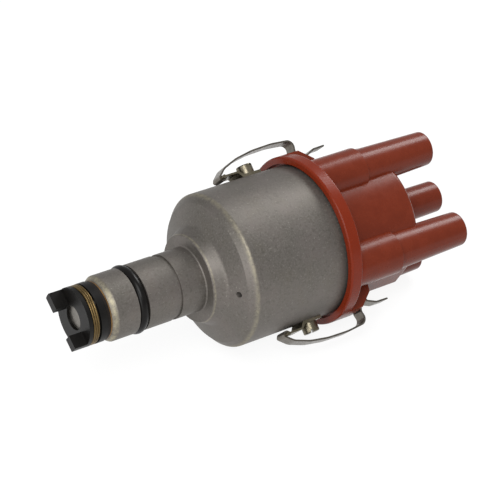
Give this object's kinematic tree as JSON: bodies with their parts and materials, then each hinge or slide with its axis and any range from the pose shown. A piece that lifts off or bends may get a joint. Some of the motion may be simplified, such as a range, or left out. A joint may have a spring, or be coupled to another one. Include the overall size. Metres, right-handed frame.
{
  "type": "ignition distributor",
  "caption": "Ignition distributor with a sealed cylindrical shank, cast bowl, contact points, rotor and a spring-clipped cap with lead towers.",
  "frame": {"origin": "on the shaft axis, in the middle of the plain stretch of the shank that sits in the crankcase bore", "axes": "+X along the shaft from the drive dog to the cap; +Z towards one outer lead tower; the spring clips lie at 45 degrees to the towers"},
  "size_m": [0.1858, 0.072, 0.072],
  "materials": {
    "cast_aluminium": "rough cast",
    "black_rubber": "matte",
    "sintered_bronze": "satin",
    "ground_steel": "ground",
    "blackened_steel": "phosphate black",
    "gilt_wire": "passivated wire",
    "brass": "satin",
    "fibre": "matte",
    "zinc_steel": "zinc plated",
    "clip_steel": "spring steel",
    "cap_plastic": "moulded red-brown",
    "rotor_plastic": "moulded",
    "carbon": "carbon",
    "felt": "oiled felt",
    "resin": "potting resin"
  },
  "bodies": {
    "housing": {"housing": "cast_aluminium", "o_ring": "black_rubber", "lower_bush": "sintered_bronze", "upper_bush": "sintered_bronze", "thrust_washer_brass": "brass", "thrust_washer_fibre": "fibre", "upper_thrust_washer": "fibre", "breaker_plate": "zinc_steel", "points_base": "zinc_steel", "points_spring": "clip_steel", "points_lock_screw": "zinc_steel", "terminal_block": "rotor_plastic", "condenser": "zinc_steel", "condenser_screw": "zinc_steel", "lead_grommet": "black_rubber", "clip_bracket_a": "zinc_steel", "clip_bracket_b": "zinc_steel", "clip_screw_a": "zinc_steel", "clip_screw_b": "zinc_steel"},
    "shaft": {"drive_shaft": "ground_steel", "drive_dog": "blackened_steel", "dog_pin": "ground_steel", "dog_pin_spring": "gilt_wire", "advance_plate": "zinc_steel", "advance_spring_a": "clip_steel", "advance_spring_b": "clip_steel", "cam_circlip": "clip_steel"},
    "weight_a": {"advance_weight_a": "ground_steel"},
    "weight_b": {"advance_weight_b": "ground_steel"},
    "cam": {"breaker_cam": "ground_steel", "cam_felt_wick": "felt", "rotor_arm": "rotor_plastic", "rotor_contact": "brass", "rotor_resistor": "resin"},
    "points_arm": {"points_arm": "clip_steel", "points_heel": "fibre"},
    "cap": {"distributor_cap": "cap_plastic", "cap_electrodes": "brass", "centre_terminal": "brass", "centre_brush_spring": "clip_steel"},
    "brush": {"centre_brush": "carbon"},
    "clip_a": {"clip_spring_a": "clip_steel"},
    "clip_b": {"clip_spring_b": "clip_steel"}
  },
  "joints": [
    {"name": "shaft_spin", "type": "hinge", "parent": "housing", "child": "shaft", "pos_m": [0, 0, 0], "axis": [1, 0, 0], "continuous": true},
    {"name": "cam_advance", "type": "hinge", "parent": "shaft", "child": "cam", "pos_m": [0.0805, 0, 0], "axis": [1, 0, 0], "range_deg": [0, 13], "stiffness_Nm_per_rad": 0.05, "deforming": ["advance_spring_a", "advance_spring_b"]},
    {"name": "weight_a_swing", "type": "hinge", "parent": "shaft", "child": "weight_a", "pos_m": [0.0545, 0.017, 0], "axis": [1, 0, 0], "range_deg": [-20.2, 0]},
    {"name": "weight_b_swing", "type": "hinge", "parent": "shaft", "child": "weight_b", "pos_m": [0.0545, -0.017, 0], "axis": [1, 0, 0], "range_deg": [-20.2, 0]},
    {"name": "points_open", "type": "hinge", "parent": "housing", "child": "points_arm", "pos_m": [0.0795, 0.013, -0.016], "axis": [-1, 0, 0], "range_deg": [0, 3], "stiffness_Nm_per_rad": 0.2, "deforming": ["points_spring"]},
    {"name": "cap_lift", "type": "slide", "parent": "housing", "child": "cap", "axis": [1, 0, 0], "range_m": [0, 0.048]},
    {"name": "brush_slide", "type": "slide", "parent": "cap", "child": "brush", "axis": [1, 0, 0], "range_m": [0, 0.002], "stiffness_N_per_m": 40, "deforming": ["centre_brush_spring"]},
    {"name": "clip_a_open", "type": "hinge", "parent": "housing", "child": "clip_a", "pos_m": [0.0668, 0.0244, 0.0244], "axis": [0, -0.7071, 0.7071], "range_deg": [0, 105.5]},
    {"name": "clip_b_open", "type": "hinge", "parent": "housing", "child": "clip_b", "pos_m": [0.0668, -0.0244, -0.0244], "axis": [0, 0.7071, -0.7071], "range_deg": [0, 105.5]}
  ],
  "couplings": [
    {"joint": "weight_a_swing", "follows": "cam_advance", "ratio": -1.5385},
    {"joint": "weight_b_swing", "follows": "cam_advance", "ratio": -1.5385},
    {"joint": "clip_a_open", "follows": "cap_lift", "rad_per_m": 38.179},
    {"joint": "clip_b_open", "follows": "cap_lift", "rad_per_m": 38.179}
  ]
}
